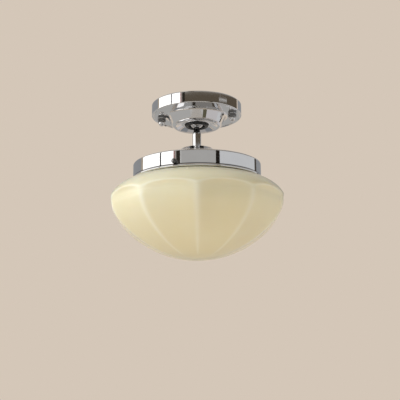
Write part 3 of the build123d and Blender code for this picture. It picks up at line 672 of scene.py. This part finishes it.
def card(name, turns, rises, colour, strength, distance=1.6):
    """A curved card round the light, between two turns from the front and two rises, in degrees."""
    lower, upper = [distance * tan(radians(rise)) + card_centre_z for rise in rises]
    start = Vector((sin(radians(turns[0])), -cos(radians(turns[0])), 0)) * distance
    bpy.ops.object.select_all(action="DESELECT")
    bpy.ops.mesh.primitive_plane_add(size=0.001)
    piece = bpy.context.object
    piece.name = name
    bpy.ops.object.mode_set(mode="EDIT")
    bpy.ops.mesh.select_all(action="SELECT")
    bpy.ops.mesh.merge(type="CENTER")
    bpy.ops.transform.translate(value=(start.x, start.y, lower))
    bpy.ops.mesh.extrude_region_move(TRANSFORM_OT_translate={"value": (0, 0, upper - lower)})
    bpy.ops.mesh.select_all(action="SELECT")
    turn = turns[1] - turns[0]
    bpy.ops.mesh.spin(steps=ceil(turn / 4), angle=-radians(turn), center=(0, 0, 0), axis=(0, 0, 1))
    bpy.ops.object.mode_set(mode="OBJECT")
    piece.visible_camera = False
    glow = Finish(name, {"Base Color": (0, 0, 0, 1), "Specular IOR Level": 0.0})
    glow.vary({"Emission Color": (*colour, 1), "Emission Strength": strength})
    glow.put_on(name)


white = (1.0, 0.99, 0.97)
grey = (1.0, 0.98, 0.94)
cool = (0.95, 0.97, 1.0)
tan_brown = (1.0, 0.84, 0.66)
card("bright_card_left", (-109, -67), (-3, 27), white, 1.6)
card("bright_card_right", (-64, -40.5), (-3, 27), white, 1.6)
card("bright_card_bar", (-67, -64), (-3, 27), grey, 0.06)
card("bright_card_edge", (-115, -109), (-3, 27), tan_brown, 0.42)
card("red_card", (-40.5, -38.5), (-3, 27), (1.0, 0.35, 0.30), 0.30)
card("tan_card", (-38.5, -35.5), (-3, 27), (1.0, 0.88, 0.80), 0.36)
card("dark_card_left", (-35.5, -28.5), (-3, 27), tan_brown, 0.03)
card("front_card_edge", (-28.5, -27), (-3, 17.3), grey, 0.62)
card("front_card", (-27, 32.5), (-14, 17.3), grey, 0.42)
card("dark_card_right", (32.5, 39.5), (-14, 17.3), tan_brown, 0.015)
card("pale_card", (39.5, 122), (-14, 17.3), (0.98, 0.99, 1.0), 0.60)
card("dark_card_back", (122, 129), (-14, 17.3), tan_brown, 0.06)
card("low_card_left", (-165, -27), (-60, -3), grey, 0.44)
card("low_card_front", (-27, 28), (-60, -14), grey, 0.50)
card("low_card_olive", (28, 44), (-60, -14), (1.0, 0.92, 0.58), 0.11)
card("low_card_right", (44, 165), (-60, -14), (1.0, 0.96, 0.96), 0.56)
card("low_card_back", (165, 195), (-60, -12), grey, 0.40)
card("brown_card", (-28.5, 124), (17.3, 22.1), (1.0, 0.80, 0.58), 0.10)
card("brown_card_spot", (58, 82), (21.25, 21.52), grey, 0.50, 1.55)
card("stem_edge_card", (124, 138), (16.3, 18.4), white, 0.80, 1.55)
card("upper_card_left", (-115, -28.5), (27, 65), grey, 0.45)
card("upper_card_front", (-28.5, 124), (22.1, 65), (1.0, 0.94, 0.86), 0.30)
card("upper_card_dark", (-22, -6), (27, 55), tan_brown, 0.04, 1.55)
card("back_card_left", (-165, -115), (6, 28), cool, 0.30)
card("back_card_right", (129, 165), (6, 28), cool, 0.30)
card("upper_card_back", (124, 245), (28, 65), (1.0, 0.95, 0.90), 0.48)


def soft_lamp(name, turn, rise, size, colour, power):
    """A square soft lamp that shines from a turn and a rise, in degrees, and is unseen in the chrome."""
    lamp_data = bpy.data.lights.new(name, "AREA")
    lamp_data.size = size
    lamp_data.color = colour
    lamp_data.energy = power
    lamp = bpy.data.objects.new(name, lamp_data)
    bpy.context.collection.objects.link(lamp)
    level = cos(radians(rise))
    away = Vector((sin(radians(turn)) * level, -cos(radians(turn)) * level, sin(radians(rise))))
    lamp.location = away * 1.3 + Vector((0, 0, card_centre_z))
    lamp.rotation_euler = away.to_track_quat("Z", "Y").to_euler()
    lamp.visible_glossy = False


soft_lamp("front_lamp", -57, 27, 0.8, (0.84, 0.94, 1.0), 9.3)
soft_lamp("low_lamp", -88, -42, 0.8, (1.0, 0.96, 0.80), 8.2)
soft_lamp("side_lamp", 52, -38, 0.8, (1.0, 0.94, 0.76), 6.0)

# Camera
# It stands in front of the light and a little below it, and looks up at it.
camera_data = bpy.data.cameras.new("camera")
camera_data.sensor_width = 36.0
camera_data.lens = 67.86
camera = bpy.data.objects.new("camera", camera_data)
bpy.context.collection.objects.link(camera)
camera_pitch = radians(12.15)
camera_roll = radians(-0.53)
camera_turn = Matrix.Rotation(pi / 2 + camera_pitch, 4, "X") @ Matrix.Rotation(camera_roll, 4, "Z")
camera.matrix_world = Matrix.Translation((0.00309, -0.861, -0.3011)) @ camera_turn
bpy.context.scene.camera = camera
bpy.context.scene.view_settings.view_transform = "Standard"
